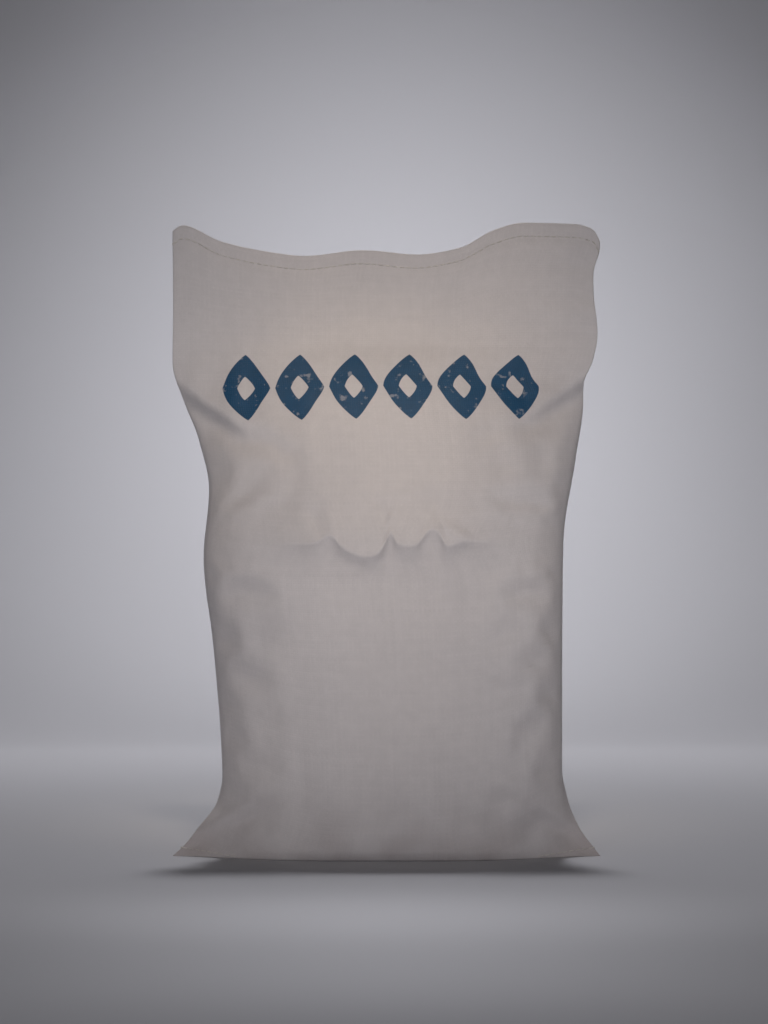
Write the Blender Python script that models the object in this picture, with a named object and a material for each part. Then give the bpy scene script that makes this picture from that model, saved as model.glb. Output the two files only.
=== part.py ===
"""A full 25 kg sack of sugar, standing on its base.

The sack is a flat tube of woven fabric, 500 mm across, sewn shut at the bottom and the top. The sugar
rounds out its lower part. The empty top stays a flat flap of the full width, and the ends of the
bottom seam stick out as two ears. It is one closed solid, in metres, with +Z up, its front facing -Y
and its origin on the floor, under the middle of the sack.

Run it with: blender --background --python part.py
"""

import math

import bmesh
import bpy

# Driving dimensions, in metres.
FLAT_WIDTH = 0.500  # across the empty sack
HEIGHT = 0.738  # floor to the highest point of the top edge
BELLY_DEPTH = 0.190  # front to back where the sack is fullest
FLAP_THICKNESS = 0.0034  # two layers of fabric with a little air between them

HALF_WIDTH = FLAT_WIDTH / 2
HALF_BELLY = BELLY_DEPTH / 2

# Outlines are smooth curves through (share of HEIGHT, share of a half size).
LEFT_EDGE = (
    (0.000, 1.000), (0.019, 0.940), (0.043, 0.884), (0.088, 0.790), (0.125, 0.768), (0.165, 0.771),
    (0.330, 0.809), (0.470, 0.854), (0.578, 0.830), (0.657, 0.879), (0.720, 0.951), (0.780, 1.000),
    (0.880, 0.997), (1.000, 1.000),
)
RIGHT_EDGE = (
    (0.000, 1.000), (0.019, 0.956), (0.043, 0.905), (0.090, 0.847), (0.140, 0.821), (0.260, 0.821),
    (0.490, 0.826), (0.626, 0.884), (0.720, 0.922), (0.745, 0.922), (0.780, 0.964), (0.823, 0.988),
    (0.893, 0.969), (0.917, 0.968), (0.962, 1.000), (1.000, 0.996),
)
# Half the depth that the sugar gives the sack.
HALF_DEPTH = (
    (0.000, 0.730), (0.015, 0.850), (0.045, 0.910), (0.120, 0.940), (0.270, 0.960), (0.400, 0.990),
    (0.490, 1.000), (0.560, 0.920), (0.650, 0.730), (0.715, 0.520), (0.770, 0.300), (0.815, 0.120),
    (0.860, 0.030), (0.900, 0.000), (1.000, 0.000),
)
# The cross-section is (1 - |x|^squareness)^pinch: a pinch of 0.5 is a round side, and one over 1
# draws the side out into a thin fin.
SQUARENESS = ((0.000, 3.4), (0.060, 2.7), (0.150, 2.4), (0.500, 2.3), (0.700, 2.2), (1.000, 2.0))
PINCH = (
    (0.000, 2.10), (0.040, 1.30), (0.085, 0.74), (0.130, 0.54), (0.480, 0.50), (0.600, 0.55),
    (0.680, 0.66), (0.725, 0.88), (0.770, 1.24), (0.850, 1.50), (1.000, 1.50),
)
# The wavy top edge: (share of HALF_WIDTH from the middle, share of HEIGHT).
TOP_EDGE = (
    (-1.000, 0.985), (-0.950, 0.995), (-0.770, 0.969), (-0.550, 0.953), (-0.380, 0.947),
    (-0.110, 0.957), (0.150, 0.950), (0.340, 0.960), (0.500, 0.988), (0.640, 1.000), (0.880, 0.998),
    (0.965, 0.990), (1.000, 0.968),
)
FLAP_START = 0.800  # share of HEIGHT above which the rows follow the top edge

# The crease where the leaning upper front breaks over the upright lower front. It hangs in scallops
# between notches: (place across the sack, share of HEIGHT).
BELLY_CREASE = (
    (-1.000, 0.498), (-0.600, 0.492), (-0.380, 0.494), (-0.295, 0.509), (-0.230, 0.489),
    (-0.080, 0.473), (-0.020, 0.480), (0.006, 0.492), (0.032, 0.520), (0.062, 0.495),
    (0.120, 0.490), (0.190, 0.492), (0.240, 0.517), (0.290, 0.514), (0.345, 0.487),
    (0.390, 0.494), (0.500, 0.497), (0.700, 0.496), (1.000, 0.498),
)
CREASE_ENDS = (-0.70, 0.76)  # places across the sack where the crease has died away
CREASE_ROW = 0.498  # share of HEIGHT of the row that is bent to follow the crease
CREASE_PULL = 0.075  # share of HEIGHT over which the rows beside it straighten out again
CREASE_LIP = 0.0105  # how far the fabric hangs out over the crease
CREASE_RISE = 0.062  # height above the crease over which the overhang grows
CREASE_UNDER = 0.0155  # height under the crease over which the fabric comes back

# Other folds run between two places, each given as (share of HALF_WIDTH, share of HEIGHT). Each has
# a lip over its line, a dent under it, a height over which both fade, and a share on the back.
FOLDS = (
    ((-0.965, 0.731), (-0.690, 0.668), 0.0030, 0.0135, 0.038, 0.60),  # left shoulder
    ((0.950, 0.747), (0.670, 0.688), 0.0030, 0.0115, 0.034, 0.45),  # right shoulder
    ((-0.900, 0.030), (-0.560, 0.090), 0.0045, 0.0020, 0.022, 0.80),  # left ear
    ((0.920, 0.030), (0.600, 0.100), 0.0040, 0.0020, 0.022, 0.70),  # right ear
)
FOLD_STEP = 0.011

# The flap bows back and forth: (waves across the width, phase, depth at the top edge).
FLAP_WAVES = ((0.75, 0.9, 0.0085), (1.9, 2.1, 0.0040))
# Creases that run in from the right edge of the flap: (share of HEIGHT, depth).
EDGE_CREASES = ((0.932, 0.0026), (0.858, -0.0034))
EDGE_CREASE_LENGTH = 0.050
EDGE_CREASE_WIDTH = 0.011

# Mesh density. Each zone of rows is (share of HEIGHT that it ends at, rows in it).
COLUMNS = 42
ROW_ZONES = (
    (0.050, 5), (0.150, 6), (0.420, 7), (0.484, 4), (0.512, 7), (0.580, 4), (0.640, 4), (0.800, 9),
    (1.000, 8),
)


def curve(points, at):
    """Height of the smooth curve through points at the place at, with no overshoot between them."""
    if at <= points[0][0]:
        return points[0][1]
    if at >= points[-1][0]:
        return points[-1][1]
    k = sum(point[0] < at for point in points) - 1

    def chord(i):
        return (points[i + 1][1] - points[i][1]) / (points[i + 1][0] - points[i][0])

    def slope(i):
        """Tangent at point i: the harmonic mean of its two chords, or 0 at a turning point."""
        if i in (0, len(points) - 1):
            return chord(min(i, len(points) - 2))
        before, after = chord(i - 1), chord(i)
        return 2 * before * after / (before + after) if before * after > 0 else 0.0

    (x0, y0), (x1, y1) = points[k], points[k + 1]
    t = (at - x0) / (x1 - x0)
    return (
        y0 * (1 + 2 * t) * (1 - t) ** 2
        + y1 * t * t * (3 - 2 * t)
        + (x1 - x0) * t * (1 - t) * (slope(k) * (1 - t) - slope(k + 1) * t)
    )


def smooth_step(low, high, value):
    """0 below low, 1 above high, and an S-curve between them."""
    t = min(1.0, max(0.0, (value - low) / (high - low)))
    return t * t * (3 - 2 * t)


def lip_and_dent(above, step, fade, lip, dent):
    """How far a fold stands out at a height above its line: a lip over it, and a dent below it."""
    side = smooth_step(-step, step, above)
    return (lip * side - dent * (1 - side)) * math.exp(-abs(above) / fade)


def belly_crease(across, share):
    """How far the belly crease pushes the front outwards: more and more down to the crease, and back
    again just under it."""
    first, last = CREASE_ENDS
    reach = smooth_step(first, first + 0.4, across) * (1 - smooth_step(last - 0.4, last, across))
    above = (share - CREASE_ROW) * HEIGHT
    over = math.exp(-max(above, 0) / CREASE_RISE)
    under = math.exp(min(above, 0) / CREASE_UNDER)
    return reach * CREASE_LIP * over * under


def fold(x, z, start, end, lip, dent, fade):
    """How far a straight fold from start to end pushes the surface outwards."""
    x0, z0 = start[0] * HALF_WIDTH, start[1] * HEIGHT
    dx, dz = end[0] * HALF_WIDTH - x0, end[1] * HEIGHT - z0
    length = math.hypot(dx, dz)
    along = ((x - x0) * dx + (z - z0) * dz) / length**2
    above = ((z - z0) * dx - (x - x0) * dz) / length * math.copysign(1, dx)
    reach = smooth_step(-0.35, 0.1, along) * (1 - smooth_step(0.55, 1.5, along))
    return reach * lip_and_dent(above, FOLD_STEP, fade, lip, dent)


def flap_bow(across, z):
    """How far the middle of the flap stands off the plane of the sack."""
    rise = smooth_step(0.62 * HEIGHT, HEIGHT, z)
    waves = sum(depth * math.sin(math.pi * n * across + phase) for n, phase, depth in FLAP_WAVES)
    creases = 0.0
    from_edge = (1 - across) * HALF_WIDTH
    for height, depth in EDGE_CREASES:
        off = (z - height * HEIGHT) / EDGE_CREASE_WIDTH
        creases += depth * math.exp(-off * off - from_edge / EDGE_CREASE_LENGTH)
    return rise * waves + creases


def row_height(across, share, facing):
    """Height of a row at one place across the sack. Rows of the flap follow the top edge, and on the
    front those near the belly crease follow its scallops."""
    if share > FLAP_START:
        t = (share - FLAP_START) / (1 - FLAP_START)
        return HEIGHT * (FLAP_START + t * (curve(TOP_EDGE, across) - FLAP_START))
    if facing > 0:
        return HEIGHT * share
    pull = 1 - smooth_step(0, CREASE_PULL, abs(share - CREASE_ROW))
    return HEIGHT * (share + pull * (curve(BELLY_CREASE, across) - CREASE_ROW))


def surface_point(across, share, facing):
    """A point of the sack. across runs from -1 at the left edge to 1 at the right, share from 0 at
    the floor to 1 at the top, and facing is -1 for the front and 1 for the back."""
    z = row_height(across, share, facing)
    level = z / HEIGHT
    left, right = -HALF_WIDTH * curve(LEFT_EDGE, level), HALF_WIDTH * curve(RIGHT_EDGE, level)
    x = (left + right) / 2 + (right - left) / 2 * across
    body = max(0.0, 1 - abs(across) ** curve(SQUARENESS, level)) ** curve(PINCH, level)
    layer = math.sqrt(max(0.0, 1 - across**10))
    out = HALF_BELLY * curve(HALF_DEPTH, level) * body + FLAP_THICKNESS / 2 * layer
    folds = thin = 0.0
    for start, end, lip, dent, fade, on_back in FOLDS:
        depth = fold(x, z, start, end, lip, dent, fade)
        folds += depth * (1 if facing < 0 else on_back)
        thin += depth
    if facing < 0:
        folds += belly_crease(across, share)
    room = smooth_step(0.0, 0.03, out)
    bow = flap_bow(across, z) - thin * (1 - room)  # where the sack is thin, both sides fold together
    return x, facing * (out + folds * room) + bow, z


def columns():
    """Places across the sack, closer together towards its sides."""
    for k in range(COLUMNS + 1):
        even, round_side = 2 * k / COLUMNS - 1, -math.cos(math.pi * k / COLUMNS)
        yield (even + round_side) / 2


def rows():
    """Shares of the height, from the floor to the top edge."""
    start = 0.0
    yield start
    for end, count in ROW_ZONES:
        for k in range(count):
            yield start + (end - start) * (k + 1) / count
        start = end


def sack_mesh():
    """The closed sack: a ring of points for each row, front then back, with a strip of faces across
    the base and another across the top edge."""
    around = [(across, -1) for across in columns()][:-1]
    around += [(-across, 1) for across in columns()][:-1]
    points = [[surface_point(across, share, facing) for across, facing in around] for share in rows()]
    xs, ys = ([point[k] for ring in points for point in ring] for k in (0, 1))
    middle_x, middle_y = (min(xs) + max(xs)) / 2, (min(ys) + max(ys)) / 2

    mesh = bmesh.new()
    rings = [[mesh.verts.new((x - middle_x, y - middle_y, z)) for x, y, z in ring] for ring in points]
    for lower, upper in zip(rings, rings[1:]):
        for k in range(len(around)):
            after = (k + 1) % len(around)
            mesh.faces.new((lower[k], lower[after], upper[after], upper[k]))
    for ring in (rings[0], rings[-1]):
        for k in range(COLUMNS):
            corners = ring[k], ring[k + 1], ring[-k - 1], ring[-k]
            mesh.faces.new(dict.fromkeys(corners))
    bmesh.ops.triangulate(mesh, faces=mesh.faces)
    bmesh.ops.recalc_face_normals(mesh, faces=mesh.faces)
    data = bpy.data.meshes.new("sack")
    mesh.to_mesh(data)
    mesh.free()
    data.shade_smooth()
    return data


def woven_white():
    """Off-white woven fabric, matt with a faint sheen."""
    material = bpy.data.materials.new("woven_white")
    material.use_nodes = True
    shader = material.node_tree.nodes["Principled BSDF"]
    shader.inputs["Base Color"].default_value = (0.72, 0.68, 0.64, 1.0)
    shader.inputs["Roughness"].default_value = 0.6
    shader.inputs["Metallic"].default_value = 0.0
    return material


def main():
    for old in list(bpy.data.objects):
        bpy.data.objects.remove(old)
    sack = bpy.data.objects.new("sack", sack_mesh())
    sack.data.materials.append(woven_white())
    bpy.context.scene.collection.objects.link(sack)


main()
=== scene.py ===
"""The looks of a full sack of sugar: woven fabric with its folds, sewn ends and a plain printed band.

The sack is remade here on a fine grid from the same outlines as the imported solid, which it replaces.
Lengths are in metres. Its front faces -Y and it stands on the floor at z = 0.
"""

import math

import bmesh
import bpy
import numpy as np
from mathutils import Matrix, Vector
from mathutils.bvhtree import BVHTree


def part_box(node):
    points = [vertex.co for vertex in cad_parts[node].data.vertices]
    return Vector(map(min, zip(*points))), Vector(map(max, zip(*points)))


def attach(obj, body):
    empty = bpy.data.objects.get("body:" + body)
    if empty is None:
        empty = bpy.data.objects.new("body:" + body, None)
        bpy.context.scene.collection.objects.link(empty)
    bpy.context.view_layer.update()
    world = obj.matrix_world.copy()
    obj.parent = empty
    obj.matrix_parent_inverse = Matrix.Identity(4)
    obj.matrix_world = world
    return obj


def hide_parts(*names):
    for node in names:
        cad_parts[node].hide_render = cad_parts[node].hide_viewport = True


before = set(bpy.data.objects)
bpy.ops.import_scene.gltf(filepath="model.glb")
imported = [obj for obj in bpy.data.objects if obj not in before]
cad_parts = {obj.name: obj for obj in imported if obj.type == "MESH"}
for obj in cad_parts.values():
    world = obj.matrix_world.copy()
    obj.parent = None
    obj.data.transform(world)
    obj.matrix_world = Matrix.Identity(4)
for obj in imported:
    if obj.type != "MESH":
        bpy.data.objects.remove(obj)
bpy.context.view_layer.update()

SACK_LOW, SACK_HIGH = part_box("sack")

# ---------------------------------------------------------------- sizes of the sack

HALF_WIDTH = (SACK_HIGH[0] - SACK_LOW[0]) / 2
HEIGHT = SACK_HIGH[2]
HALF_BELLY = 0.095
FLAP_THICKNESS = 0.0030
FLAT_WIDTH = 2 * HALF_WIDTH
FLAT_LENGTH = 0.80  # bottom seam to top edge, on the flat fabric

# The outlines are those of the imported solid. A level is a share of HEIGHT, and a place across is a
# share of HALF_WIDTH, from -1 at the left edge to 1 at the right.
LEFT_EDGE = (  # (level, place of the left edge, taken as above 0)
    (0.000, 1.000), (0.019, 0.940), (0.043, 0.884), (0.088, 0.790), (0.125, 0.768), (0.165, 0.771),
    (0.330, 0.809), (0.470, 0.854), (0.578, 0.830), (0.657, 0.879), (0.720, 0.951), (0.780, 1.000),
    (0.880, 0.997), (1.000, 1.000),
)
RIGHT_EDGE = (  # (level, place of the right edge)
    (0.000, 1.000), (0.019, 0.956), (0.043, 0.905), (0.090, 0.847), (0.140, 0.821), (0.260, 0.821),
    (0.490, 0.826), (0.626, 0.884), (0.720, 0.922), (0.745, 0.922), (0.780, 0.964), (0.823, 0.988),
    (0.893, 0.969), (0.917, 0.968), (0.962, 1.000), (1.000, 0.996),
)
HALF_DEPTH = (  # (level, share of HALF_BELLY that the front and the back stand out)
    (0.000, 0.730), (0.015, 0.850), (0.045, 0.910), (0.120, 0.940), (0.270, 0.960), (0.400, 0.990),
    (0.490, 1.000), (0.560, 0.920), (0.650, 0.730), (0.715, 0.520), (0.770, 0.300), (0.815, 0.120),
    (0.860, 0.030), (0.900, 0.000), (1.000, 0.000),
)
# The powers that shape the ring at each level. An oval has a squareness of 2 and a pinch of 0.5.
SQUARENESS = ((0.000, 3.4), (0.060, 2.7), (0.150, 2.4), (0.500, 2.3), (0.700, 2.2), (1.000, 2.0))
PINCH = (
    (0.000, 2.10), (0.040, 1.30), (0.085, 0.74), (0.130, 0.54), (0.480, 0.50), (0.600, 0.55),
    (0.680, 0.66), (0.725, 0.88), (0.770, 1.24), (0.850, 1.50), (1.000, 1.50),
)
TOP_EDGE = (  # (place across, level of the top edge)
    (-1.000, 0.985), (-0.950, 0.995), (-0.770, 0.969), (-0.550, 0.953), (-0.380, 0.947),
    (-0.110, 0.957), (0.150, 0.950), (0.340, 0.960), (0.500, 0.988), (0.640, 1.000), (0.880, 0.998),
    (0.965, 0.990), (1.000, 0.968),
)
FLAP_START = 0.800  # from here up the rows follow the top edge
LAYER_SQUARENESS = 10  # of the two flat layers of the flap

# The main folds are those of the solid too, cut a little deeper.
BELLY_CREASE = (  # (place across, level of the crease)
    (-1.000, 0.498), (-0.600, 0.492), (-0.380, 0.494), (-0.295, 0.509), (-0.230, 0.489),
    (-0.080, 0.473), (-0.020, 0.480), (0.006, 0.492), (0.032, 0.520), (0.062, 0.495),
    (0.120, 0.490), (0.190, 0.492), (0.240, 0.517), (0.290, 0.514), (0.345, 0.487),
    (0.390, 0.494), (0.500, 0.497), (0.700, 0.496), (1.000, 0.498),
)
CREASE_ENDS = (-0.70, 0.76)
CREASE_FADE = 0.4  # how far in from its ends it has its full depth
CREASE_ROW = 0.498  # the row that becomes the crease
CREASE_PULL = 0.075  # and how near to it rows are drawn along
CREASE_LIP = 0.0115
CREASE_RISE = 0.062  # height over which the lip fades above the crease
CREASE_UNDER = 0.0190  # and below it

# Each fold is (start, end, lip, dent, fade, share that shows on the back). Its lip is on top.
FOLDS = (
    ((-0.965, 0.731), (-0.690, 0.668), 0.0030, 0.0150, 0.046, 0.60),
    ((0.950, 0.747), (0.670, 0.688), 0.0030, 0.0135, 0.044, 0.45),
    ((-0.900, 0.030), (-0.560, 0.090), 0.0045, 0.0020, 0.022, 0.80),
    ((0.920, 0.030), (0.600, 0.100), 0.0040, 0.0020, 0.022, 0.70),
)
FOLD_STEP = 0.012  # half the height between dent and lip
FOLD_REACH = ((-0.35, 0.1), (0.55, 1.5))  # shares of the way along where it comes in and goes out
FOLD_ROOM = 0.03  # folds are shallower where the sack is thinner than this
BOW_START = 0.62  # the level where the flap's bow comes in
FLAP_WAVES = ((0.75, 0.9, 0.0085), (1.9, 2.1, 0.0040))  # (half waves across, phase, depth)
EDGE_CREASES = ((0.932, 0.0026), (0.858, -0.0034))  # (level, depth) at the flap's right edge
EDGE_CREASE_LENGTH = 0.050
EDGE_CREASE_WIDTH = 0.011
SEAM_DROP = 0.016  # the closing seam's depth below the top edge
SEAM_PINCH = 0.55  # share of the flap's thickness that it pulls in
SEAM_REACH = 0.005

# Ridges and grooves that only the fabric has: (start, end, height, width) on the front. A groove has
# a height below 0.
FRONT_RIDGES = (
    ((-0.22, 0.892), (0.11, 0.888), 0.0016, 0.006),  # under the middle of the top edge
    ((0.02, 0.525), (-0.04, 0.560), -0.0026, 0.006),  # up from the notches of the belly crease
    ((-0.28, 0.505), (-0.34, 0.545), -0.0024, 0.007),
    ((0.27, 0.522), (0.36, 0.500), 0.0030, 0.006),
    ((0.24, 0.530), (0.20, 0.570), -0.0022, 0.007),
    ((-0.66, 0.665), (-0.42, 0.630), -0.0028, 0.012),  # on from the shoulder folds
    ((0.64, 0.684), (0.40, 0.655), -0.0024, 0.012),
)
RIDGE_REACH = ((-0.3, 0.2), (0.7, 1.3))  # as FOLD_REACH

# The grid that the sack is made on.
COLUMNS = 84  # on each side
ROW_ZONES = (  # (upper end, rows up to there)
    (0.050, 8), (0.150, 13), (0.430, 28), (0.480, 9), (0.525, 14), (0.570, 9), (0.800, 26),
    (0.963, 16), (0.990, 8), (1.000, 3),
)
BASE_STEPS = (0.1, 0.35, 0.6, 0.8, 0.93)  # shares of the way from the bottom seam to the outline
SAME_POINT = 2e-5
LIP_THICKNESS = 0.0006
LEAST_SLIT = 0.15  # share of the flap's thickness that the slit keeps at its ends
SLIT_END = 0.997  # share of the way to the side edges where it stops
SLIT_SHUT = 0.8  # share that it has closed by at its bottom
LIP_DEPTHS = (0.0, 0.0025, 0.006, 0.010)  # below the top edge, inside its slit


# ---------------------------------------------------------------- the sack's surface

def curve(points, at):
    """Height of the smooth curve through points at the places at, with no overshoot between them."""
    xs, ys = np.array(points).T
    chords = np.diff(ys) / np.diff(xs)
    before, after = chords[:-1], chords[1:]
    turning = before * after <= 0
    inner = np.where(turning, 0.0, 2 * before * after / np.where(turning, 1.0, before + after))
    slopes = np.concatenate([chords[:1], inner, chords[-1:]])
    at = np.clip(at, xs[0], xs[-1])
    k = np.clip(np.searchsorted(xs, at, side="right") - 1, 0, len(xs) - 2)
    gap = xs[k + 1] - xs[k]
    t = (at - xs[k]) / gap
    return (
        ys[k] * (1 + 2 * t) * (1 - t) ** 2
        + ys[k + 1] * t * t * (3 - 2 * t)
        + gap * t * (1 - t) * (slopes[k] * (1 - t) - slopes[k + 1] * t)
    )


def smooth_step(low, high, value):
    """0 at low and 1 at high, which may be the smaller."""
    t = np.clip((value - low) / (high - low), 0.0, 1.0)
    return t * t * (3 - 2 * t)


def reach(limits, along):
    """1 between the inner two of the limits, and 0 past the outer two."""
    return smooth_step(*limits[0], along) * (1 - smooth_step(*limits[1], along))


def belly_crease(across, share):
    """How far the crease's lip stands out of the front."""
    first, last = CREASE_ENDS
    limits = (first, first + CREASE_FADE), (last - CREASE_FADE, last)
    above = (share - CREASE_ROW) * HEIGHT
    over = np.exp(-np.maximum(above, 0) / CREASE_RISE)
    under = np.exp(np.minimum(above, 0) / CREASE_UNDER)
    return reach(limits, across) * CREASE_LIP * over * under


def along_and_above(x, z, start, end):
    """Where a place is against the line from start to end: the share of the way along it, and the
    height above it."""
    x0, z0 = start[0] * HALF_WIDTH, start[1] * HEIGHT
    dx, dz = end[0] * HALF_WIDTH - x0, end[1] * HEIGHT - z0
    length = math.hypot(dx, dz)
    along = ((x - x0) * dx + (z - z0) * dz) / length**2
    return along, ((z - z0) * dx - (x - x0) * dz) / length * math.copysign(1, dx)


def fold(x, z, start, end, lip, dent, fade):
    """A lip over a dent, from start to end."""
    along, above = along_and_above(x, z, start, end)
    side = smooth_step(-FOLD_STEP, FOLD_STEP, above)
    depth = (lip * side - dent * (1 - side)) * np.exp(-abs(above) / fade)
    return reach(FOLD_REACH, along) * depth


def ridge(x, z, start, end, height, width):
    """A round ridge, or a groove, from start to end."""
    along, above = along_and_above(x, z, start, end)
    return height * reach(RIDGE_REACH, along) * np.exp(-((above / width) ** 2))


def flap_bow(across, z):
    """How far the flap is bent back, both layers together."""
    rise = smooth_step(BOW_START * HEIGHT, HEIGHT, z)
    waves = sum(depth * np.sin(math.pi * n * across + phase) for n, phase, depth in FLAP_WAVES)
    creases = 0.0
    from_edge = (1 - across) * HALF_WIDTH
    for height, depth in EDGE_CREASES:
        off = (z - height * HEIGHT) / EDGE_CREASE_WIDTH
        creases = creases + depth * np.exp(-off * off - from_edge / EDGE_CREASE_LENGTH)
    return rise * waves + creases


def row_height(across, share, facing):
    """Height of a row's point: rows follow the top edge in the flap, and the crease near it."""
    t = (share - FLAP_START) / (1 - FLAP_START)
    flap = FLAP_START + t * (curve(TOP_EDGE, across) - FLAP_START)
    pull = 1 - smooth_step(0, CREASE_PULL, abs(share - CREASE_ROW))
    body = share + np.where(facing < 0, pull * (curve(BELLY_CREASE, across) - CREASE_ROW), 0.0)
    return HEIGHT * np.where(share > FLAP_START, flap, body)


def surface(across, share, facing):
    """Points of the sack, as an array with x, y and z in its last axis. across runs from -1 at the
    left edge to 1 at the right, share from 0 at the floor to 1 at the top, and facing is -1 for the
    front and 1 for the back."""
    across, share, facing = np.broadcast_arrays(across, share, facing)
    z = row_height(across, share, facing)
    level = z / HEIGHT
    left, right = -HALF_WIDTH * curve(LEFT_EDGE, level), HALF_WIDTH * curve(RIGHT_EDGE, level)
    x = (left + right) / 2 + (right - left) / 2 * across
    body = np.maximum(0.0, 1 - abs(across) ** curve(SQUARENESS, level)) ** curve(PINCH, level)
    layer = np.sqrt(np.maximum(0.0, 1 - across**LAYER_SQUARENESS))
    drop = (1 - share) / (1 - FLAP_START) * HEIGHT * (curve(TOP_EDGE, across) - FLAP_START)
    pinch = np.where(share > FLAP_START, np.exp(-(((drop - SEAM_DROP) / SEAM_REACH) ** 2)), 0.0)
    layer = layer * (1 - SEAM_PINCH * pinch)
    out = HALF_BELLY * curve(HALF_DEPTH, level) * body + FLAP_THICKNESS / 2 * layer
    folds = np.where(facing < 0, belly_crease(across, share), 0.0)
    thin = 0.0
    for start, end, lip, dent, fade, on_back in FOLDS:
        depth = fold(x, z, start, end, lip, dent, fade)
        folds = folds + depth * np.where(facing < 0, 1.0, on_back)
        thin = thin + depth
    for start, end, height, width in FRONT_RIDGES:
        folds = folds + np.where(facing < 0, ridge(x, z, start, end, height, width), 0.0)
    room = smooth_step(0.0, FOLD_ROOM, out)
    bow = flap_bow(across, z) - thin * (1 - room)  # where the sack is thin, both sides fold together
    return np.stack([x, facing * (out + folds * room) + bow, z], axis=-1)


def columns():
    """Places across from -1 to 1, closer together towards the side edges."""
    k = np.arange(COLUMNS + 1) / COLUMNS
    return ((2 * k - 1) - np.cos(math.pi * k)) / 2


def rows():
    """Shares of the way up, from 0 to 1."""
    places, low = [[0.0]], 0.0
    for high, count in ROW_ZONES:
        places.append(np.linspace(low, high, count + 1)[1:])
        low = high
    return np.concatenate(places)


def upright_rings():
    """Rings of points up the sack from the floor. Each goes along the front from left to right, then
    back along the back."""
    across = np.concatenate([columns()[:-1], -columns()[:-1]])
    facing = np.repeat([-1.0, 1.0], COLUMNS)
    return surface(across[None], rows()[:, None], facing[None])


def box_middle(points):
    """The middle of the box round points, on the floor."""
    low, high = points.min(axis=(0, 1)), points.max(axis=(0, 1))
    return (low + high) / 2 * [1, 1, 0]


def sack_rings():
    """The upright rings, with those over the base from the bottom seam before them, and those over
    the top edge and down into its slit after them."""
    rings = upright_rings()
    rings = rings - box_middle(rings)

    opposite = (-np.arange(2 * COLUMNS)) % (2 * COLUMNS)
    outline, edge = rings[0], rings[-1]
    seam = (outline + outline[opposite]) / 2
    base = [seam + (outline - seam) * step for step in BASE_STEPS]
    middle = (edge + edge[opposite]) / 2
    gap = edge - middle
    half = np.linalg.norm(gap, axis=1, keepdims=True)
    inner = middle + gap * np.clip(1 - LIP_THICKNESS / np.maximum(half, 1e-9), LEAST_SLIT, 1)
    inner[[0, COLUMNS]] *= [SLIT_END, 1, 1]
    slit = []
    for depth in LIP_DEPTHS:
        shut = (depth / LIP_DEPTHS[-1]) ** 2
        slit.append(inner + (middle - inner) * SLIT_SHUT * shut - [0, 0, depth])
    return np.concatenate([base, rings, slit])


def fabric_places(rings):
    """Where each point is on the flat fabric: u across the front and then the back, v up from the
    bottom seam. The weave runs level up to the flap, and above it follows the top edge."""
    count = 2 * COLUMNS
    closed = np.concatenate([rings, rings[:, :1]], axis=1)
    steps = np.linalg.norm(np.diff(closed, axis=1), axis=2)
    u = np.zeros((len(rings), count + 1))
    for side in (0, 1):
        start, end = side * COLUMNS, (side + 1) * COLUMNS
        panel = np.cumsum(steps[:, start:end], axis=1)
        u[:, start + 1:end + 1] = side * FLAT_WIDTH + FLAT_WIDTH * panel / panel[:, -1:]
    rise = np.concatenate([np.zeros((1, count)), np.linalg.norm(np.diff(rings, axis=0), axis=2)])
    v = np.cumsum(rise, axis=0)
    top = len(rings) - len(LIP_DEPTHS) - 1
    flap = len(BASE_STEPS) + int(np.searchsorted(rows(), FLAP_START + 1e-9)) - 1
    flap_v = (v[flap] / v[top]).mean() * FLAT_LENGTH
    above = flap_v + (v - v[flap]) * (FLAT_LENGTH - flap_v) / (v[top] - v[flap])
    v = np.where(v > v[flap], above, v * flap_v / v[flap])
    return u, np.concatenate([v, v[:, :1]], axis=1)


def sack_mesh():
    """The closed skin of the sack, with its places on the flat fabric as UV maps."""
    rings = sack_rings()
    u, v = fabric_places(rings)
    count = 2 * COLUMNS
    index = np.arange(len(rings) * count).reshape(len(rings), count)
    faces, corners = [], []
    for r in range(len(rings) - 1):
        for k in range(count):
            after = (k + 1) % count
            faces.append((index[r, k], index[r, after], index[r + 1, after], index[r + 1, k]))
            corners += [(u[r, k], v[r, k]), (u[r, k + 1], v[r, k + 1])]
            corners += [(u[r + 1, k + 1], v[r + 1, k + 1]), (u[r + 1, k], v[r + 1, k])]
    for r, turned in ((0, True), (len(rings) - 1, False)):
        for k in range(COLUMNS):
            loop = [k, k + 1, (count - k - 1) % count, (count - k) % count]
            loop = list(dict.fromkeys(loop))
            if turned:
                loop.reverse()
            faces.append([index[r, i] for i in loop])
            corners += [(u[r, min(i, COLUMNS)], v[r, i]) for i in loop]
    data = bpy.data.meshes.new("woven_sack")
    data.from_pydata(rings.reshape(-1, 3).tolist(), [], faces)
    corners = np.array(corners, dtype=np.float32)
    for name, size in (("fabric", 1), ("OFBake", corners.max(axis=0))):
        data.uv_layers.new(name=name).data.foreach_set("uv", (corners / size).ravel())
    merged = bmesh.new()
    merged.from_mesh(data)
    bmesh.ops.remove_doubles(merged, verts=merged.verts, dist=SAME_POINT)
    bmesh.ops.dissolve_degenerate(merged, edges=merged.edges, dist=SAME_POINT)
    merged.to_mesh(data)
    merged.free()
    data.shade_smooth()
    return data


# ---------------------------------------------------------------- settling the fabric

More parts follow.
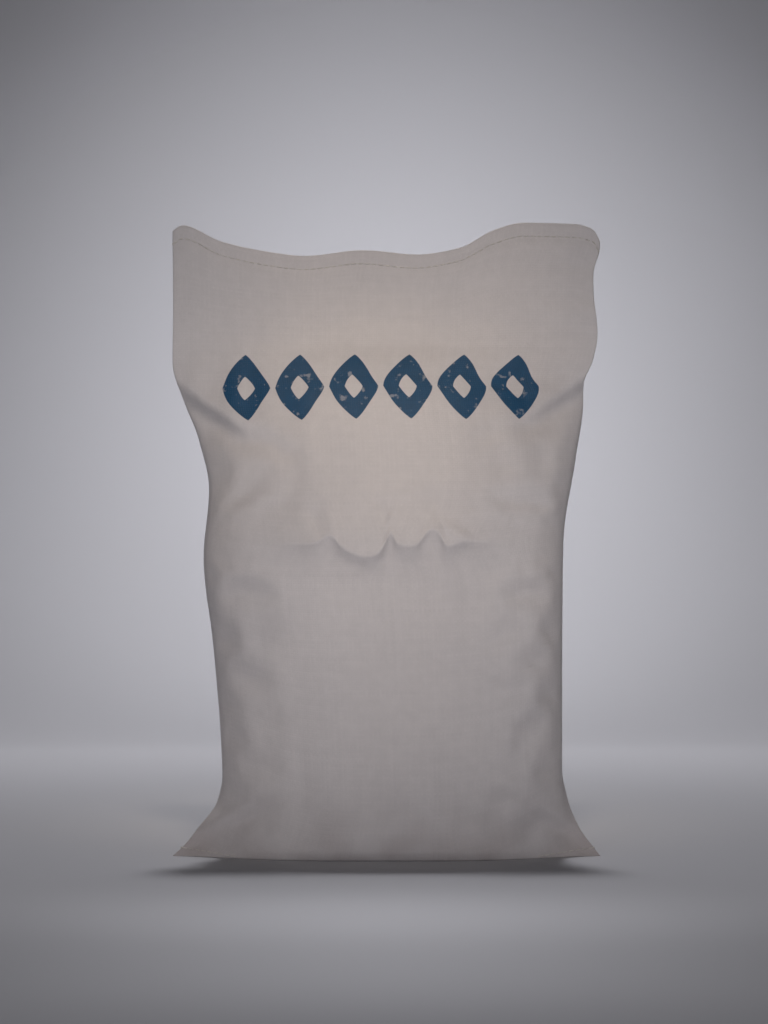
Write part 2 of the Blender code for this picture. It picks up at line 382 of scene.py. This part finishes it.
SLACK_SIDE = 0.018  # how much more fabric there is than room for, near the sides
SLACK_FRONT = 0.010  # and over the rest of the sack
SIDE_ZONE = (0.45, 0.90)  # where the fabric of the sides comes in, against the body's half width
BODY_WIDTH = 0.83  # the body's width against the ears'
SIDE_TOP = (0.72, 0.80)  # the levels where it goes out again
HOLD = 0.22  # how firmly the sugar holds the fabric out
CREASE_HOLD = 0.6  # and at the belly crease, which is set already
CREASE_ZONE = 0.07  # to this far above and below it
EDGE_HOLD = 0.7  # and along the two side edges
EDGE_ZONE = (0.90, 0.99)  # which come in here, on the way out to the outline
FLAP_ZONE = (0.74, 0.86)  # the levels where the flap comes to be held fast
BASE_ZONE = (0.002, 0.012)  # and those where the base stops being so
SIM_FRAMES = 14
MOST_MOVE = 0.008
EVEN_OVER = 0.005  # the buckles are evened out over this length
EVEN_PASSES = 4
CLOTH = {
    "quality": 6,
    "mass": 0.2,
    "tension_stiffness": 30,
    "compression_stiffness": 30,
    "shear_stiffness": 8,
    "bending_stiffness": 120,
    "tension_damping": 15,
    "compression_damping": 15,
    "air_damping": 3,
    "vertex_group_mass": "held",
    "pin_stiffness": 5,
    "vertex_group_shrink": "taut",
    "shrink_max": -SLACK_FRONT,
    "shrink_min": -SLACK_SIDE,
}


def evened(data, rest, shift):
    """Shifts averaged with those of near neighbours, so that close rows leave no line of their own."""
    ends = np.empty(len(data.edges) * 2, np.int32)
    data.edges.foreach_get("vertices", ends)
    first, second = ends.reshape(-1, 2).T
    length = np.linalg.norm(rest[first] - rest[second], axis=1)
    near = np.exp(-((length / EVEN_OVER) ** 2))
    total = 1 + np.bincount(first, near, len(rest)) + np.bincount(second, near, len(rest))
    for _ in range(EVEN_PASSES):
        summed = shift.copy()
        for axis in range(3):
            summed[:, axis] += np.bincount(first, near * shift[second, axis], len(rest))
            summed[:, axis] += np.bincount(second, near * shift[first, axis], len(rest))
        shift = summed / total[:, None]
    return shift


def settle(sack):
    """Lets the fabric, which has a little slack, buckle over the sugar inside."""
    data = sack.data
    rest = np.empty(len(data.vertices) * 3, np.float32)
    data.vertices.foreach_get("co", rest)
    rest = rest.reshape(-1, 3).astype(float)
    x, _, z = rest.T
    level = z / HEIGHT
    held = sack.vertex_groups.new(name="held")
    taut = sack.vertex_groups.new(name="taut")
    side = smooth_step(*SIDE_ZONE, abs(x) / (BODY_WIDTH * HALF_WIDTH))
    side = side * (1 - smooth_step(*SIDE_TOP, level))
    hold = np.maximum(smooth_step(*FLAP_ZONE, level), 1 - smooth_step(*BASE_ZONE, level))
    hold = HOLD + (1 - HOLD) * hold
    crease = smooth_step(CREASE_ZONE, 0.0, abs(level - CREASE_ROW))
    outline = HALF_WIDTH * np.where(x < 0, curve(LEFT_EDGE, level), curve(RIGHT_EDGE, level))
    edge = smooth_step(*EDGE_ZONE, abs(x) / outline)
    hold = np.maximum(hold, np.maximum(CREASE_HOLD * crease, EDGE_HOLD * edge))
    for k in range(len(rest)):
        held.add([k], float(hold[k]), "REPLACE")
        taut.add([k], float(1 - side[k]), "REPLACE")
    cloth = sack.modifiers.new("cloth", "CLOTH")
    for name, value in CLOTH.items():
        setattr(cloth.settings, name, value)
    cloth.settings.effector_weights.gravity = 0
    cloth.collision_settings.use_collision = False
    cloth.collision_settings.use_self_collision = False
    scene = bpy.context.scene
    cloth.point_cache.frame_start, cloth.point_cache.frame_end = 1, SIM_FRAMES
    for step in range(1, SIM_FRAMES + 1):
        scene.frame_set(step)
    settled = sack.evaluated_get(bpy.context.evaluated_depsgraph_get()).to_mesh()
    moved = np.empty(len(rest) * 3, np.float32)
    settled.vertices.foreach_get("co", moved)
    shift = moved.reshape(-1, 3) - rest
    sack.modifiers.remove(cloth)
    sack.vertex_groups.clear()
    scene.frame_set(1)
    shift = evened(data, rest, shift)
    far = np.linalg.norm(shift, axis=1, keepdims=True)
    shift *= np.minimum(1, MOST_MOVE / np.maximum(far, 1e-9))
    data.vertices.foreach_set("co", (rest + shift).astype(np.float32).ravel())
    data.update()


def smoothed(sack):
    """One finished subdivision."""
    subdivision = sack.modifiers.new("subdivision", "SUBSURF")
    subdivision.levels = subdivision.render_levels = 1
    data = bpy.data.meshes.new_from_object(sack.evaluated_get(bpy.context.evaluated_depsgraph_get()))
    sack.modifiers.clear()
    sack.data = data


# ---------------------------------------------------------------- finishes

class Value:
    """A number that varies over a surface. Arithmetic on it adds the Math nodes that work it out."""

    def __init__(self, finish, socket):
        self.finish = finish
        self.socket = socket

    def __add__(self, other):
        return self.finish.math("ADD", self, other)

    def __sub__(self, other):
        return self.finish.math("SUBTRACT", self, other)

    def __rsub__(self, other):
        return self.finish.math("SUBTRACT", other, self)

    def __mul__(self, other):
        return self.finish.math("MULTIPLY", self, other)

    def __truediv__(self, other):
        return self.finish.math("DIVIDE", self, other)

    def __rtruediv__(self, other):
        return self.finish.math("DIVIDE", other, self)

    def __pow__(self, other):
        return self.finish.math("POWER", self, other)

    def __mod__(self, other):
        return self.finish.math("FLOORED_MODULO", self, other)

    def __neg__(self):
        return self * -1

    def __abs__(self):
        return self.finish.math("ABSOLUTE", self)

    def __floor__(self):
        return self.finish.math("FLOOR", self)

    __radd__ = __add__
    __rmul__ = __mul__


class Nodes:
    """A node tree, with the method that adds any node."""

    def __init__(self, tree):
        self.tree = tree

    def node(self, kind, settings, inputs, output=0):
        """Adds a node, sets it up and returns one of its outputs. Sockets go by place, name or
        identifier."""
        made = self.tree.nodes.new(kind)
        for name, value in settings.items():
            setattr(made, name, value)
        for key, value in inputs.items():
            self.feed(pick(made.inputs, key), value)
        return Value(self, pick(made.outputs, output))

    def feed(self, socket, value):
        """Links a value to a socket, or sets the socket to a number, a colour or a name."""
        if isinstance(value, Value):
            self.tree.links.new(value.socket, socket)
        elif socket.type == "VECTOR":
            socket.default_value = value[:3]
        else:
            socket.default_value = value

    def math(self, operation, *values):
        """What a Math node makes of these values."""
        return self.node("ShaderNodeMath", {"operation": operation}, dict(enumerate(values)))

    def place(self, x=0.0, y=0.0, z=0.0):
        """The vector with these parts."""
        return self.node("ShaderNodeCombineXYZ", {}, {"X": x, "Y": y, "Z": z})


class Finish(Nodes):
    """A material, with the methods that add its nodes."""

    def __init__(self, name):
        self.material = bpy.data.materials.new(name)
        self.material.use_nodes = True
        super().__init__(self.material.node_tree)
        self.shader = self.tree.nodes["Principled BSDF"]

    def set(self, **inputs):
        """Sets inputs of the surface's own shader, with _ for a space in their names."""
        for name, value in inputs.items():
            self.feed(self.shader.inputs[name.replace("_", " ")], value)

    def smooth(self, low, high, value):
        """0 below low and 1 above high, with a smooth rise between them."""
        limits = {"Value": value, "From Min": low, "From Max": high}
        return self.node("ShaderNodeMapRange", {"interpolation_type": "SMOOTHSTEP"}, limits)

    def mix(self, share, first, second):
        """The first colour where share is 0, and the second where it is 1."""
        colours = {"Factor_Float": share, "A_Color": first, "B_Color": second}
        return self.node("ShaderNodeMix", {"data_type": "RGBA"}, colours, "Result_Color")

    def shade(self, colour, strength):
        """A colour made lighter or darker."""
        inputs = {0: colour, "Scale": strength}
        return self.node("ShaderNodeVectorMath", {"operation": "SCALE"}, inputs)

    def noise(self, where, scale, detail=2.0, sides="3D"):
        """Cloudy values around 0.5, with scale clouds to a metre."""
        inputs = {"Vector": where, "Scale": scale, "Detail": detail}
        return self.node("ShaderNodeTexNoise", {"noise_dimensions": sides}, inputs)

    def parts(self, where, *names):
        """The parts X, Y or Z of a vector."""
        return [self.node("ShaderNodeSeparateXYZ", {}, {"Vector": where}, name) for name in names]

    def own_place(self):
        """Where a point of the surface is, in metres."""
        return self.node("ShaderNodeTexCoord", {}, {}, "Object")

    def bump(self, height):
        """The normal of a surface with this relief, in metres."""
        return self.node("ShaderNodeBump", {}, {"Height": height, "Distance": 1.0, "Strength": 1.0})


def pick(sockets, key):
    """The socket at a place in the row of sockets, or with a name or identifier."""
    if isinstance(key, int):
        return sockets[key]
    return next(socket for socket in sockets if key in (socket.identifier, socket.name))


CLOTH_COLOUR = (0.595, 0.545, 0.530, 1.0)
CLOTH_GREYED = (0.535, 0.495, 0.490, 1.0)
# colour of floor dust on the ears and near the bottom; near the bottom it is also painted shade
FLOOR_DUST_AND_SHADE = (0.400, 0.345, 0.330, 1.0)
INK_COLOUR = (0.0065, 0.0560, 0.1250, 1.0)
THREAD_COLOUR = (0.66, 0.62, 0.56, 1.0)
THREAD_SOILED = (0.50, 0.46, 0.42, 1.0)

TAPE = 0.0027  # width of a tape of the weave
TAPE_FLATNESS = 6  # power that gives a tape its flat back and its edges
TAPE_BODY = 0.4  # how much of the relief is a tape's own, and not its way over and under
TONE_STEP = 0.71  # how far apart two tapes are in the noise that sets how light they are
TONE_ALONG = 4.0  # and how fast it changes along them
LEVEL_TONES = 50.0  # the level tapes take theirs from another part of it
WEAVE_RELIEF = 0.00006
CRUMPLES = ((13.0, 0.0022), (38.0, 0.0006))  # (clouds to a metre, depth)
DUST_AND_SHADE_HEIGHT = 0.10  # how high the floor dust comes, which near the bottom is also painted shade
EAR_ZONE = (0.165, 0.235)  # where the ears begin, on the way out from the middle
EAR_HEIGHTS = (0.065, 0.010)  # the heights between which their dust grows
TWIST = 0.0013  # length of a turn of the thread

# How fine the unevenness of each finish is, in clouds to a metre.
GREYING = 5.0
SPECKS = 90.0
DUST_AND_SHADE_PATCHES = 22.0
WEAR = 130.0
FUZZ = 1400.0
SOILING = 60.0

# The print: a row of lozenges, each with a bare middle, across the front.
PRINT_MIDDLE = (0.2485, 0.6175)  # u and v on the flat fabric
LOZENGES = 6
LOZENGE_PITCH = 0.0640
LOZENGE_HALF = (0.0290, 0.0425)
LOZENGE_BARE = 0.36  # size of the bare middle against the lozenge
LOZENGE_BEND = 1.22  # 1 is a diamond and 2 an oval
INK_EDGE = 0.02  # how soft the outer edge of the ink is
BARE_EDGE = 0.05  # and the edge of the bare middle
ROW_EDGE = 0.001  # and the two ends of the row


def plain_weave(finish, u, v):
    """Flat tapes, one over and one under: the relief, about -0.6 to 1.4, and how light each tape is,
    around 0."""
    column, row = math.floor(u / TAPE), math.floor(v / TAPE)
    across, along = u / TAPE - column - 0.5, v / TAPE - row - 0.5
    side = (column + row) % 2 * 2 - 1
    upright_body = (1 - (abs(across) * 2) ** TAPE_FLATNESS) * TAPE_BODY
    level_body = (1 - (abs(along) * 2) ** TAPE_FLATNESS) * TAPE_BODY
    upright = finish.math("COSINE", along * math.pi) * side + upright_body
    level = finish.math("COSINE", across * math.pi) * -side + level_body
    on_top = finish.math("GREATER_THAN", upright, level)
    upright_place = finish.place(column * TONE_STEP, v * TONE_ALONG)
    level_place = finish.place(u * TONE_ALONG, row * TONE_STEP + LEVEL_TONES)
    upright_tone = finish.noise(upright_place, 1.0, 1.0, "2D")
    level_tone = finish.noise(level_place, 1.0, 1.0, "2D")
    tone = upright_tone * on_top + level_tone * (1 - on_top) - 0.5
    return finish.math("MAXIMUM", upright, level), tone


def lozenge(across, up, size):
    """About 0 in the middle of a lozenge and 1 on its edge."""
    width, height = LOZENGE_HALF[0] * size, LOZENGE_HALF[1] * size
    return (abs(across) / width) ** LOZENGE_BEND + (abs(up) / height) ** LOZENGE_BEND


def printed_row(finish, u, v):
    """1 where the ink is."""
    first = PRINT_MIDDLE[0] - LOZENGES * LOZENGE_PITCH / 2
    place = (u - first) / LOZENGE_PITCH
    across = (place - math.floor(place) - 0.5) * LOZENGE_PITCH
    up = v - PRINT_MIDDLE[1]
    inside = finish.smooth(1 + INK_EDGE, 1 - INK_EDGE, lozenge(across, up, 1.0))
    bare = finish.smooth(1 + BARE_EDGE, 1 - BARE_EDGE, lozenge(across, up, LOZENGE_BARE))
    started = finish.smooth(0.0, ROW_EDGE, place)
    ended = finish.smooth(LOZENGES, LOZENGES - ROW_EDGE, place)
    return inside * (1 - bare) * (started * ended)


def woven_fabric():
    """White tapes of woven plastic, greyed with handling, with the printed row."""
    finish = Finish("woven_plastic")
    fabric = finish.node("ShaderNodeUVMap", {"uv_map": "fabric"}, {})
    u, v = finish.parts(fabric, "X", "Y")
    place = finish.own_place()
    across, height = finish.parts(place, "X", "Z")
    relief, tone = plain_weave(finish, u, v)

    clouds = finish.noise(place, GREYING, 4.0)
    specks = finish.noise(place, SPECKS, 3.0)
    greyed = finish.smooth(0.35, 0.75, clouds) * 0.8
    # darker in patches towards the bottom and on the ears near the floor: floor dust, and near the
    # bottom painted shade as well
    patches = finish.smooth(0.3, 0.7, finish.noise(place, DUST_AND_SHADE_PATCHES, 4.0))
    dust_and_shade = finish.smooth(DUST_AND_SHADE_HEIGHT, 0.0, height) * patches
    ears = finish.smooth(*EAR_ZONE, abs(across)) * finish.smooth(*EAR_HEIGHTS, height)
    dust_and_shade_share = finish.math("MAXIMUM", dust_and_shade * 0.5, ears * 0.8)
    colour = finish.mix(greyed, CLOTH_COLOUR, CLOTH_GREYED)
    colour = finish.mix(dust_and_shade_share, colour, FLOOR_DUST_AND_SHADE)
    # the gaps between the tapes are darkened: painted shade in the weave's recesses
    gaps_painted_shade = finish.smooth(0.55, -0.1, relief)
    colour = finish.shade(colour, 1 + tone * 0.10 + (specks - 0.5) * 0.12 - gaps_painted_shade * 0.22)

    worn = finish.smooth(0.60, 0.72, finish.noise(place, WEAR, 5.0))
    ink = printed_row(finish, u, v) * (1 - worn * 0.35) * (1 - gaps_painted_shade * 0.3)
    printed = finish.shade(INK_COLOUR, 1 + tone * 0.3 + (specks - 0.5) * 0.4)
    finish.set(Base_Color=finish.mix(ink, colour, printed))
    finish.set(Roughness=0.50 + (clouds - 0.5) * 0.2 + gaps_painted_shade * 0.15 + ink * 0.04)

    rise = relief * WEAVE_RELIEF
    for scale, depth in CRUMPLES:
        rise = rise + abs(finish.noise(place, scale, 3.0) - 0.5) * depth
    finish.set(Normal=finish.bump(rise), Specular_IOR_Level=0.35)
    return finish.material


def cotton_thread():
    """The closing thread: pale twisted cotton."""
    finish = Finish("cotton_thread")
    place = finish.own_place()
    fuzz = finish.noise(place, FUZZ, 3.0)
    soiled = finish.noise(place, SOILING, 3.0)
    x, z = finish.parts(place, "X", "Z")
    twist = finish.math("SINE", (x + z) * (2 * math.pi / TWIST))
    colour = finish.mix(soiled, THREAD_COLOUR, THREAD_SOILED)
    # lighter on the twist's ridges and darker in its grooves: painted shade along the twist
    finish.set(Base_Color=finish.shade(colour, 0.92 + fuzz * 0.2 + twist * 0.05))
    finish.set(Roughness=0.75 + fuzz * 0.2)
    finish.set(Normal=finish.bump(twist * 0.00008 + fuzz * 0.0001))
    return finish.material


# ---------------------------------------------------------------- sewing

SEAM_PITCH = 0.0080
STITCH_LENGTH = 0.0068
THREAD_WIDTH = 0.0011
THREAD_SIDES = 6
STITCH_STEPS = 6
STITCH_RISE = 1.1  # how high its arch is drawn, in widths of the thread
STITCH_SINK = 0.5  # and how deep its ends go
LOOP_WIDTH = 0.0026
LOOP_STEPS = 12
LOOP_REACH = 0.58  # half the length of a loop, in stitch lengths
LOOP_THREAD = 0.8  # width of its thread, against the other side's
UNEVEN = {"Min": (0.93, 0.90, 0.90), "Max": (1.04, 1.08, 1.10)}  # sizes of the stitches
SEED = 4
CLOSING_POINTS = 241  # along the closing seam
EAR_POINTS = 41  # and along the bottom seam on each ear
SEAM_END = 0.984  # share of the way to the edge where the closing seam stops
EAR_SEAM_END = 0.72  # and where the bottom seam goes under the sack
EAR_SEAM_HEIGHTS = (0.0095, 0.0030)  # of the bottom seam at the ear's tip, and where it goes under


def straight_stitch(tree, length, width):
    """A stitch on the needle's side: a short arch with both ends down in the fabric."""
    inputs = {
        "Resolution": STITCH_STEPS,
        "Start": tree.place(-length / 2, 0.0, -width * STITCH_SINK),
        "Middle": tree.place(0.0, 0.0, width * STITCH_RISE),
        "End": tree.place(length / 2, 0.0, -width * STITCH_SINK),
    }
    arch = tree.node("GeometryNodeCurveQuadraticBezier", {}, inputs)
    return tree.thread(arch, width)


def chain_stitch(tree, length, width):
    """A stitch on the looper's side: a long loop, which reaches into the next one."""
    inputs = {"Resolution": LOOP_STEPS, "Radius": 1.0}
    ring = tree.node("GeometryNodeCurvePrimitiveCircle", {"mode": "RADIUS"}, inputs)
    size = tree.place(length * LOOP_REACH, LOOP_WIDTH / 2, 1.0)
    long_ring = tree.node("GeometryNodeTransform", {}, {"Geometry": ring, "Scale": size})
    return tree.thread(long_ring, width * LOOP_THREAD)


class Sewing(Nodes):
    """A Geometry Nodes tree that sews one kind of stitch along the line that it is put on."""

    def __init__(self, name, stitch):
        super().__init__(bpy.data.node_groups.new(name, "GeometryNodeTree"))
        sockets = self.tree.interface
        sockets.new_socket("Line", in_out="INPUT", socket_type="NodeSocketGeometry")
        for size in ("Pitch", "Length", "Width"):
            sockets.new_socket(size, in_out="INPUT", socket_type="NodeSocketFloat")
        sockets.new_socket("Seed", in_out="INPUT", socket_type="NodeSocketInt")
        sockets.new_socket("Thread", in_out="INPUT", socket_type="NodeSocketMaterial")
        sockets.new_socket("Stitches", in_out="OUTPUT", socket_type="NodeSocketGeometry")
        given = self.tree.nodes.new("NodeGroupInput")
        line, pitch, length, width, seed, thread = (Value(self, end) for end in given.outputs[:6])

        vectors = {"data_type": "FLOAT_VECTOR"}
        inputs = {"Curve": self.node("GeometryNodeMeshToCurve", {}, {"Mesh": line}), "Length": pitch}
        line = self.node("GeometryNodeResampleCurve", {"mode": "LENGTH"}, inputs)
        points = self.node("GeometryNodeCurveToPoints", {"mode": "EVALUATED"}, {"Curve": line})
        tangent = Value(self, points.socket.node.outputs["Tangent"])
        outward = self.node("GeometryNodeInputNamedAttribute", vectors, {"Name": "outward"})
        turned = self.turned("X", "AUTO", tangent)
        turned = self.turned("Z", "X", outward, Rotation=turned)
        scale = self.node("FunctionNodeRandomValue", vectors, {**UNEVEN, "Seed": seed})
        inputs = {"Points": points, "Instance": stitch(self, length, width)}
        inputs.update({"Rotation": turned, "Scale": scale})
        stitches = self.node("GeometryNodeInstanceOnPoints", {}, inputs)
        stitches = self.node("GeometryNodeRealizeInstances", {}, {"Geometry": stitches})
        stitches = self.node("GeometryNodeSetShadeSmooth", {}, {"Geometry": stitches})
        stitches = self.node("GeometryNodeSetMaterial", {}, {"Geometry": stitches, "Material": thread})
        self.tree.links.new(stitches.socket, self.tree.nodes.new("NodeGroupOutput").inputs[0])

    def turned(self, axis, pivot, vector, **rotation):
        """The rotation that points an axis along a vector."""
        settings = {"axis": axis, "pivot_axis": pivot}
        return self.node("FunctionNodeAlignRotationToVector", settings, {"Vector": vector, **rotation})

    def thread(self, line, width):
        """A thread along a line."""
        round_edge = {"Resolution": THREAD_SIDES, "Radius": width / 2}
        profile = self.node("GeometryNodeCurvePrimitiveCircle", {"mode": "RADIUS"}, round_edge)
        inputs = {"Curve": line, "Profile Curve": profile, "Fill Caps": True}
        return self.node("GeometryNodeCurveToMesh", {}, inputs)


def seam_lines():
    """Places across the sack and up it of each seam that shows: the closing seam, and the bottom seam
    where it runs up onto the two ears."""
    across = np.linspace(-SEAM_END, SEAM_END, CLOSING_POINTS)
    closing = 1 - SEAM_DROP * (1 - FLAP_START) / (HEIGHT * (curve(TOP_EDGE, across) - FLAP_START))
    out = np.linspace(SEAM_END, EAR_SEAM_END, EAR_POINTS)
    ear = np.linspace(*EAR_SEAM_HEIGHTS, EAR_POINTS) / HEIGHT
    return (across, closing), (-out, ear), (out, ear)


def sewn(name, sack, facing, stitch, thread):
    """One piece with the stitches of every seam, on the side of the sack that faces this way."""
    skin = BVHTree.FromObject(sack, bpy.context.evaluated_depsgraph_get())
    middle = box_middle(upright_rings())
    points, edges, outward = [], [], []
    for across, share in seam_lines():
        first = len(points)
        for x, _, z in surface(across, share, facing) - middle:
            hit, normal, _, _ = skin.ray_cast(Vector((x, facing, z)), Vector((0, -facing, 0)))
            if hit is not None:
                points.append(hit)
                outward.append(normal)
        edges += [(k, k + 1) for k in range(first, len(points) - 1)]
    line = bpy.data.meshes.new(name)
    line.from_pydata(points, edges, [])
    normals = line.attributes.new("outward", "FLOAT_VECTOR", "POINT")
    normals.data.foreach_set("vector", np.ravel(outward))
    piece = bpy.data.objects.new(name, line)
    bpy.context.scene.collection.objects.link(piece)
    tree = Sewing(name, stitch).tree
    given = {"Pitch": SEAM_PITCH, "Length": STITCH_LENGTH, "Width": THREAD_WIDTH}
    given.update({"Seed": SEED, "Thread": thread})
    sewing = piece.modifiers.new("sewing", "NODES")
    sewing.node_group = tree
    for socket in tree.interface.items_tree:
        if socket.name in given:
            sewing[socket.identifier] = given[socket.name]
    data = bpy.data.meshes.new_from_object(piece.evaluated_get(bpy.context.evaluated_depsgraph_get()))
    piece.modifiers.clear()
    piece.data = data
    return piece


# ---------------------------------------------------------------- the scene

FLOOR_COLOUR = (0.515, 0.515, 0.540, 1.0)
FLOOR_HALF_WIDTH = 7.0
FLOOR_NEAR = -6.0
FLOOR_FAR = 2.2  # where the floor begins to curve up
COVE_RADIUS = 1.6
COVE_STEPS = 12
BACKDROP_TOP = 6.0

COOL, PLAIN, WARM = (0.92, 0.94, 1.0), (0.98, 0.97, 1.0), (1.0, 0.86, 0.70)
LAMPS = (
    # (name, place, what it points at, size, power in watts, colour, spread in degrees)
    ("overhead", (0.0, 6.3, 20.0), (0.0, -0.2, 0.0), (2.0, 3.3), 8.6, PLAIN, 11),
    ("key", (0.05, -2.2, 2.6), (0.0, -0.09, 0.565), (0.3, 0.3), 0.225, WARM, 14),
    ("front_left", (-1.3, -4.6, 0.6), (0.0, 0.0, 0.42), (1.0, 0.5), 0.96, COOL, 24),
    ("front_right", (1.3, -4.6, 0.6), (0.0, 0.0, 0.42), (1.0, 0.5), 0.12, COOL, 24),
    ("left_side", (-3.2, -2.8, 0.32), (-0.1, 0.0, 0.42), (1.2, 0.3), 0.44, COOL, 22),
    ("right_side", (3.2, -2.8, 0.32), (0.1, 0.0, 0.42), (1.2, 0.3), 0.80, COOL, 22),
    ("near_floor", (0.0, -0.95, 2.3), (0.0, -0.95, 0.0), (0.1, 0.9), 0.25, PLAIN, 20),
    ("close_floor", (0.0, -0.62, 2.0), (0.0, -0.62, 0.0), (0.5, 0.2), 0.09, PLAIN, 20),
    ("wall", (0.0, 2.3, 2.4), (0.0, 3.8, 0.75), (1.2, 0.5), 7.4, PLAIN, 180),
    ("wall_top", (0.0, 1.6, 2.6), (0.0, 3.8, 0.95), (0.3, 0.3), 0.5, PLAIN, 40),
    ("wall_pool", (0.0, 0.6, 1.6), (0.0, 3.8, 0.45), (0.4, 0.3), 2.8, PLAIN, 45),
    ("cove", (0.0, 0.9, 1.5), (0.0, 3.2, 0.15), (0.6, 0.4), 0.2, PLAIN, 60),
    ("floor", (0.0, 1.9, 1.9), (0.0, 2.3, 0.0), (1.2, 0.6), 14.0, PLAIN, 140),
)
SKY_COLOUR = (0.95, 0.95, 1.0, 1.0)
SKY_STRENGTH = 0.03

CAMERA_PLACE = (-0.0029, -4.45, 0.4006)
LENS = 134.5
FILM_WIDTH = 36.0


def stage():
    """A pale floor that curves up into a backdrop, which is clear from its back, so that the sack can
    be looked at from behind as well."""
    profile = [(FLOOR_NEAR, 0.0), (FLOOR_FAR, 0.0)]
    for k in range(1, COVE_STEPS + 1):
        angle = math.pi / 2 * k / COVE_STEPS
        rise = COVE_RADIUS * (1 - math.cos(angle))
        profile.append((FLOOR_FAR + COVE_RADIUS * math.sin(angle), rise))
    profile.append((FLOOR_FAR + COVE_RADIUS, BACKDROP_TOP))
    points = [(x, y, z) for y, z in profile for x in (-FLOOR_HALF_WIDTH, FLOOR_HALF_WIDTH)]
    faces = [(2 * k, 2 * k + 1, 2 * k + 3, 2 * k + 2) for k in range(len(profile) - 1)]
    data = bpy.data.meshes.new("floor")
    data.from_pydata(points, [], faces)
    data.shade_smooth()
    floor = bpy.data.objects.new("floor", data)
    bpy.context.scene.collection.objects.link(floor)
    finish = Finish("pale_floor")
    finish.set(Base_Color=FLOOR_COLOUR, Roughness=0.9, Specular_IOR_Level=0.1)
    finish.set(Alpha=1 - finish.node("ShaderNodeNewGeometry", {}, {}, "Backfacing"))
    data.materials.append(finish.material)


def lamp(name, place, target, size, power, colour, spread):
    """A soft box that points at its target."""
    data = bpy.data.lights.new(name, "AREA")
    data.shape = "RECTANGLE"
    data.size, data.size_y = size
    data.energy = power
    data.color = colour
    data.spread = math.radians(spread)
    light = bpy.data.objects.new(name, data)
    light.location = place
    light.rotation_euler = (Vector(target) - Vector(place)).to_track_quat("-Z", "Y").to_euler()
    bpy.context.scene.collection.objects.link(light)


def lights():
    """Soft light from above and behind, a warm beam on the front, low light from the front and the
    sides, and light of their own for the near floor, the far floor and the backdrop."""
    for row in LAMPS:
        lamp(*row)
    world = bpy.data.worlds.new("studio")
    world.use_nodes = True
    sky = world.node_tree.nodes["Background"]
    sky.inputs["Color"].default_value = SKY_COLOUR
    sky.inputs["Strength"].default_value = SKY_STRENGTH
    bpy.context.scene.world = world
    bpy.context.scene.view_settings.view_transform = "Standard"


def camera():
    """A camera that looks level at the front."""
    data = bpy.data.cameras.new("camera")
    data.lens = LENS
    data.sensor_width = FILM_WIDTH
    view = bpy.data.objects.new("camera", data)
    view.location = CAMERA_PLACE
    view.rotation_euler = (math.pi / 2, 0, 0)
    bpy.context.scene.collection.objects.link(view)
    bpy.context.scene.camera = view


def main():
    """The whole scene: the sack, then the seams that are sewn onto its settled fabric."""
    camera()
    stage()
    lights()
    sack = bpy.data.objects.new("woven_sack", sack_mesh())
    bpy.context.scene.collection.objects.link(sack)
    sack.data.materials.append(woven_fabric())
    settle(sack)
    smoothed(sack)
    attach(sack, "root")
    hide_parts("sack")
    thread = cotton_thread()
    seams = (("closing_thread", -1, straight_stitch), ("closing_chain", 1, chain_stitch))
    for name, facing, stitch in seams:
        piece = sewn(name, sack, facing, stitch, thread)
        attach(piece, "root")


main()
